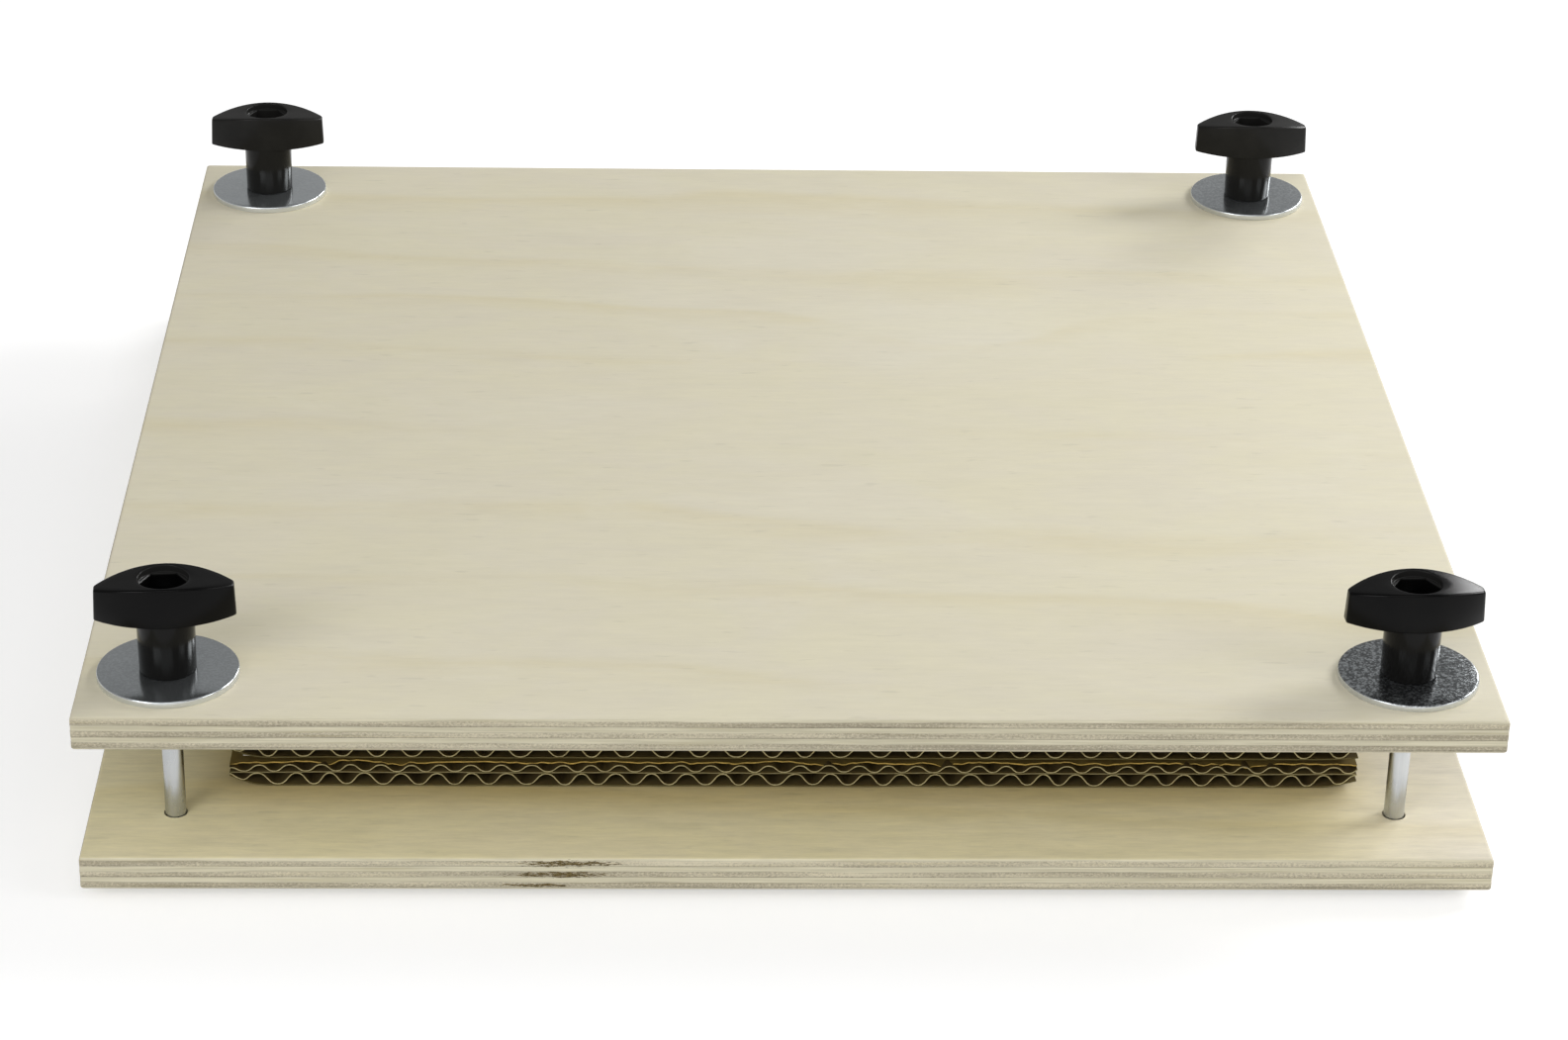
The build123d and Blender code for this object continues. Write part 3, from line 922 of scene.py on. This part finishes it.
# Where each card's flutes start, as a share of their pitch, from the lowest card up.
TALL_SHARES = (0.45, 0.28, 0.71, 0.10)
SHORT_SHARES = (0.60, 0.80, 0.15, 0.40)
# A card's finishes. A sheet's role is the same number, with the short flutes one past the tall.
LOWER_LINER, MIDDLE_LINER, UPPER_LINER, FLUTING = range(4)
SHEET_ROWS = 20
LINER_COLUMNS = 320
COLUMNS_PER_FLUTE = 12
BLOTTER_COUNT = 6
BLOTTERS_PER_CARD = 2
BLOTTER_CELLS = 48


def wave(x, pitch, crest_x):
    """A flute's height from -1 to 1: nearly straight flanks and round crests."""
    fullness = 1.1
    swing = math.cos(math.tau * (x - crest_x) / pitch)
    return math.tanh(fullness * swing) / math.tanh(fullness)


class CardShape:
    """How one card's sheets lie: crushed at the cut ends, ragged at the front and back."""
    end_reach, face_reach = 4 * MM, 5 * MM
    left_crush, right_crush, lowest_right_crush = 0.78, 0.18, 0.5
    hang_depth, lift_height = 2.2 * MM, 0.16 * MM

    def __init__(self, low, high, index, paper):
        self.low, self.high = low, high
        self.middle = (low + high) / 2
        self.half = (high - low) / 2
        self.paper = paper
        self.seed = 10.0 * index
        self.fold_z = low.z + paper.liner + paper.tall_height
        self.can_drop = index > 0
        self.can_rise = index < len(TALL_SHARES) - 1

    def crush(self, side, y):
        """How far an end is crushed, from 0 to 1, which changes along it."""
        right = self.right_crush if self.can_drop else self.lowest_right_crush
        strength = self.left_crush if side < 0 else right
        return strength + 0.15 * drift(y * 25, self.seed + 7 * side)

    def flatten(self, v, share):
        """Brings a point nearer to the middle liner."""
        v.co.z = self.fold_z + (v.co.z - self.fold_z) * (1 - share)

    def settle(self, v, role):
        """Moves a point of a flat or fluted sheet to where the worn card has it."""
        paper, seed = self.paper, self.seed + role
        x, y = v.co.x - self.middle.x, v.co.y - self.middle.y
        side, face = math.copysign(1.0, x), math.copysign(1.0, y)
        from_end = self.half.x - abs(x)
        from_face = self.half.y - abs(y)
        end = max(0.0, 1.0 - from_end / paper.crush_reach)
        strength = self.crush(side, y)
        below = v.co.z < self.fold_z
        self.flatten(v, (strength if below else 0.7 * strength ** 2) * end ** 1.5)
        near_end = max(0.0, 1.0 - from_end / self.end_reach)
        v.co.x -= side * near_end * paper.ragged * (0.9 + 0.9 * drift(y * 60, seed, 3.0))
        near_face = max(0.0, 1.0 - from_face / self.face_reach)
        self.flatten(v, (0.16 if self.can_drop and below else 0.05) * near_face ** 0.8)
        fray = 3.0 if role == UPPER_LINER else 0.45
        torn = drift(x * 110, seed, face) + 0.5 * drift(x * 420, seed, face)
        v.co.y -= face * near_face * paper.ragged * fray * max(0.0, 1 + torn)
        if role == UPPER_LINER:
            hang = drift(x * 75, seed, 11.0 + face) + 0.45 * drift(x * 330, seed, 17.0 + face)
            v.co.z -= self.hang_depth * near_face ** 2 * max(0.0, hang - 0.08)
        ripple = drift(x * 55, self.seed + 0.2 * role, 5.0 + face)
        lift = self.lift_height * near_face ** 0.7 * ripple
        top_sheet = v.co.z > self.high.z - 0.5 * paper.liner
        bottom_sheet = v.co.z < self.low.z + 1.5 * paper.liner
        if (bottom_sheet and not self.can_drop) or (top_sheet and not self.can_rise):
            lift = abs(lift) if bottom_sheet else -abs(lift)
        v.co.z += lift


def sheet_grid(shape, columns, rows):
    """A level grid over a card, with its rows gathered towards the front and back edges."""
    bm = bmesh.new()
    bmesh.ops.create_grid(bm, x_segments=columns, y_segments=rows, size=1.0)
    for v in bm.verts:
        gathered = math.copysign(1 - (1 - abs(v.co.y)) ** 3, v.co.y)
        v.co = (shape.middle.x + v.co.x * shape.half.x,
                shape.middle.y + gathered * shape.half.y, 0.0)
    return bm


def add_sheet(card, shape, role, columns, height, thickness, material_index):
    """Adds one sheet of paper to a card: height gives its middle's height over each X."""
    sheet = sheet_grid(shape, columns, SHEET_ROWS)
    for v in sheet.verts:
        v.co.z = height(v.co.x)
        shape.settle(v, role)
    bmesh.ops.recalc_face_normals(sheet, faces=sheet.faces)
    if sum(f.normal.z for f in sheet.faces) < 0:
        bmesh.ops.reverse_faces(sheet, faces=sheet.faces)
    sheet.normal_update()
    for v in sheet.verts:
        v.co += v.normal * thickness / 2
    bmesh.ops.solidify(sheet, geom=sheet.faces[:], thickness=thickness)
    for f in sheet.faces:
        f.material_index = material_index
    mesh = bpy.data.meshes.new("sheet")
    sheet.to_mesh(mesh)
    sheet.free()
    card.from_mesh(mesh)
    bpy.data.meshes.remove(mesh)


def card_mesh(low, high, index, paper):
    """A double-wall corrugated card: three liners with tall flutes below and short ones above."""
    shape = CardShape(low, high, index, paper)
    card = bmesh.new()
    tall_z = low.z + paper.liner
    short_z = shape.fold_z + paper.liner
    top_z = short_z + paper.short_height

    def flat(z):
        return lambda x: z + paper.liner / 2

    def fluted(z, tall, pitch, crest_x, seed):
        swing = (tall - paper.flute_paper) / 2

        def height(x):
            strayed = x + paper.flute_wander * drift(x * 70, seed)
            return z + tall / 2 + swing * wave(strayed, pitch, crest_x)

        return height

    liners = {LOWER_LINER: low.z, MIDDLE_LINER: shape.fold_z, UPPER_LINER: top_z}
    for role, z in liners.items():
        add_sheet(card, shape, role, LINER_COLUMNS, flat(z), paper.liner, role)
    rows = ((tall_z, paper.tall_height, paper.tall_pitch, TALL_SHARES[index]),
            (short_z, paper.short_height, paper.short_pitch, SHORT_SHARES[index]))
    for role, (z, tall, pitch, share) in enumerate(rows, FLUTING):
        crest_x = shape.middle.x + (share + 0.5) * pitch
        columns = round(2 * shape.half.x / pitch * COLUMNS_PER_FLUTE)
        height = fluted(z, tall, pitch, crest_x, shape.seed + 2.7 * role)
        add_sheet(card, shape, role, columns, height, paper.flute_paper, FLUTING)
    return card


class PRESS_OT_cards(Operator):
    """Make the four corrugated cards"""
    bl_idname = "press.cards"
    bl_label = "Cards"

    def execute(self, context):
        paper = context.scene.press_paper
        low, high = node_box("card_1")
        half = (high - low) / 2
        # Each sheet's colours near the edges are painted shade; its cut colour is partly painted
        # light and shade.
        sheets = {"lower_liner": (paper.liner_dark, paper.liner_light, paper.under_cut),
                  "middle_liner": (paper.liner_dark, paper.liner_light, paper.liner_cut),
                  "upper_liner": (paper.outer_dark, paper.outer_light, paper.outer_cut),
                  "fluting": (paper.flute_dark, paper.flute_light, paper.flute_cut)}
        finishes = [card_paper("kraft_" + sheet, half, paper, *colours)
                    for sheet, colours in sheets.items()]
        for index in range(len(TALL_SHARES)):
            node, layer = "card_%d" % (index + 1), "layer_%d" % (index + 1)
            bm = card_mesh(*node_box(node), index, paper)
            new_piece(bm, "corrugated_" + node, layer, [node], finishes, sharp=50.0)
        return {"FINISHED"}


def blotter_mesh(low, high, seed):
    """A blotting sheet with slightly uneven cut edges."""
    half, middle = (high - low) / 2, (low + high) / 2
    uneven = 0.25 * MM
    rim_share = 0.99
    bm = bmesh.new()
    bmesh.ops.create_grid(bm, x_segments=BLOTTER_CELLS, y_segments=BLOTTER_CELLS, size=1.0)
    for v in bm.verts:
        x, y = v.co.x * half.x, v.co.y * half.y
        if abs(v.co.x) > rim_share:
            x -= v.co.x * uneven * abs(drift(y * 40, seed))
        if abs(v.co.y) > rim_share:
            y -= v.co.y * uneven * abs(drift(x * 40, seed, 9.0))
        v.co = (middle.x + x, middle.y + y, low.z)
    made = bmesh.ops.extrude_face_region(bm, geom=bm.faces[:])
    bmesh.ops.translate(bm, verts=made_geom(made, BMVert), vec=(0, 0, high.z - low.z))
    return bm


class PRESS_OT_blotters(Operator):
    """Make the six blotting sheets"""
    bl_idname = "press.blotters"
    bl_label = "Blotting sheets"

    def execute(self, context):
        finish = blotting_paper(context.scene.press_paper)
        for index in range(BLOTTER_COUNT):
            node = "blotter_%d" % (index + 1)
            layer = "layer_%d" % (index // BLOTTERS_PER_CARD + 1)
            bm = blotter_mesh(*node_box(node), seed=4.0 * index)
            new_piece(bm, "blotting_sheet_%d" % (index + 1), layer, [node],
                      [finish])
        return {"FINISHED"}


# Stage

FLOOR_HALF = 6.0
FLOOR_SPECK = (0.6, 0.6, 0.6)
SENSOR_WIDTH = 36.0
# Soft boxes: place, width, height and power.
SOFT_BOXES = {
    "soft_right": ((1.35, 0.62, 0.92), 0.6, 0.6, 15.0),
    "soft_back": ((1.00, 1.40, 0.69), 0.5, 0.5, 9.0),
    "soft_left": ((-0.86, -1.12, 0.75), 0.7, 0.7, 7.0),
    "soft_front": ((0.0, -1.5, 1.2), 1.2, 0.7, 6.0),
    "soft_front_right": ((1.30, -0.60, 0.80), 0.6, 0.6, 4.5),
}
LAMP_AIM = Vector((0, 0, 40 * MM))


def seen_by_eye(f):
    """1 for rays that show the background: from the camera, in a mirror or through glass."""
    rays = [f.node("ShaderNodeLightPath", None, None, out)
            for out in ("Is Camera Ray", "Is Glossy Ray", "Is Transmission Ray")]
    return rays[0].most(rays[1]).most(rays[2])


def floor_finish(stage):
    """A pale floor that the camera sees as white, with the press's shadow on it."""
    f = new_finish("pale_floor")
    speck = f.noise((30.0, 30.0, 30.0), 2.0)
    base = f.mix(speck * 0.04, stage.floor_colour, FLOOR_SPECK)
    matt = f.node("ShaderNodeBsdfDiffuse", None, {"Color": base})
    seen = seen_by_eye(f) * stage.floor_lift
    lift = f.node("ShaderNodeEmission", None, {"Color": (1, 1, 1, 1), "Strength": seen})
    both = f.node("ShaderNodeAddShader", None, {0: matt, 1: lift})
    f.node("ShaderNodeOutputMaterial", None, {"Surface": both})
    return f.owner


def soft_lamp(name, place, width, height, power):
    """A soft box that faces the middle of the press."""
    lamp = bpy.data.lights.new(name, "AREA")
    lamp.shape = "RECTANGLE"
    lamp.size, lamp.size_y = width, height
    lamp.energy = power
    holder = bpy.data.objects.new(name, lamp)
    holder.location = place
    holder.rotation_euler = (LAMP_AIM - Vector(place)).to_track_quat("-Z", "Y").to_euler()
    bpy.context.scene.collection.objects.link(holder)


class PRESS_OT_stage(Operator):
    """Make the floor, lights, background and camera"""
    bl_idname = "press.stage"
    bl_label = "Stage"

    def execute(self, context):
        stage = context.scene.press_stage
        scene = context.scene
        bm = bmesh.new()
        bmesh.ops.create_grid(bm, x_segments=1, y_segments=1, size=FLOOR_HALF)
        mesh = bpy.data.meshes.new("floor")
        bm.to_mesh(mesh)
        bm.free()
        mesh.materials.append(floor_finish(stage))
        floor = bpy.data.objects.new("floor", mesh)
        scene.collection.objects.link(floor)

        for name, box in SOFT_BOXES.items():
            soft_lamp(name, *box)

        scene.world = bpy.data.worlds.new("studio")
        f = Finish(scene.world)
        glow = f.node("ShaderNodeBackground", None, {"Color": (1, 1, 1, 1), "Strength": stage.sky})
        f.node("ShaderNodeOutputWorld", None, {"Surface": glow})

        camera = bpy.data.cameras.new("camera")
        camera.sensor_width = SENSOR_WIDTH
        camera.sensor_fit = "HORIZONTAL"
        camera.lens = stage.lens
        right = Vector((math.cos(stage.yaw), math.sin(stage.yaw), 0.0))
        level = math.cos(stage.pitch)
        back = Vector((math.sin(stage.yaw) * level, -math.cos(stage.yaw) * level,
                       math.sin(stage.pitch)))
        up = back.cross(right)
        axis_x = right * math.cos(stage.roll) + up * math.sin(stage.roll)
        axis_y = up * math.cos(stage.roll) - right * math.sin(stage.roll)
        holder = bpy.data.objects.new("camera", camera)
        turned = Matrix((axis_x, axis_y, back)).transposed().to_4x4()
        holder.matrix_world = Matrix.Translation(stage.eye) @ turned
        scene.collection.objects.link(holder)
        scene.camera = holder
        scene.view_settings.view_transform = "Standard"
        return {"FINISHED"}


class PRESS_PT_panel(Panel):
    """Lists the steps that make the press"""
    bl_idname = "PRESS_PT_panel"
    bl_label = "Flower Press"
    bl_space_type = "VIEW_3D"
    bl_region_type = "UI"
    bl_category = "Flower Press"

    def draw(self, context):
        for operator in OPERATORS:
            self.layout.operator(operator.bl_idname)
        for group in SETTINGS:
            settings = getattr(context.scene, group)
            column = self.layout.column(heading=group)
            for key in settings.__annotations__:
                column.prop(settings, key)


OPERATORS = (PRESS_OT_boards, PRESS_OT_bolts, PRESS_OT_washers, PRESS_OT_nuts, PRESS_OT_knobs,
             PRESS_OT_cards, PRESS_OT_blotters, PRESS_OT_stage)
SETTINGS = {"press_boards": BoardSettings, "press_metal": MetalSettings,
            "press_knobs": KnobSettings, "press_paper": PaperSettings,
            "press_stage": StageSettings}


def register():
    for group, settings in SETTINGS.items():
        bpy.utils.register_class(settings)
        setattr(bpy.types.Scene, group, PointerProperty(type=settings))
    for shown in OPERATORS + (PRESS_PT_panel,):
        bpy.utils.register_class(shown)


def unregister():
    for shown in reversed(OPERATORS + (PRESS_PT_panel,)):
        bpy.utils.unregister_class(shown)
    for group, settings in reversed(SETTINGS.items()):
        delattr(bpy.types.Scene, group)
        bpy.utils.unregister_class(settings)


def main():
    register()
    bpy.ops.press.boards()
    bpy.ops.press.bolts()
    bpy.ops.press.washers()
    bpy.ops.press.nuts()
    bpy.ops.press.knobs()
    bpy.ops.press.cards()
    bpy.ops.press.blotters()
    bpy.ops.press.stage()


if __name__ == "__main__":
    main()
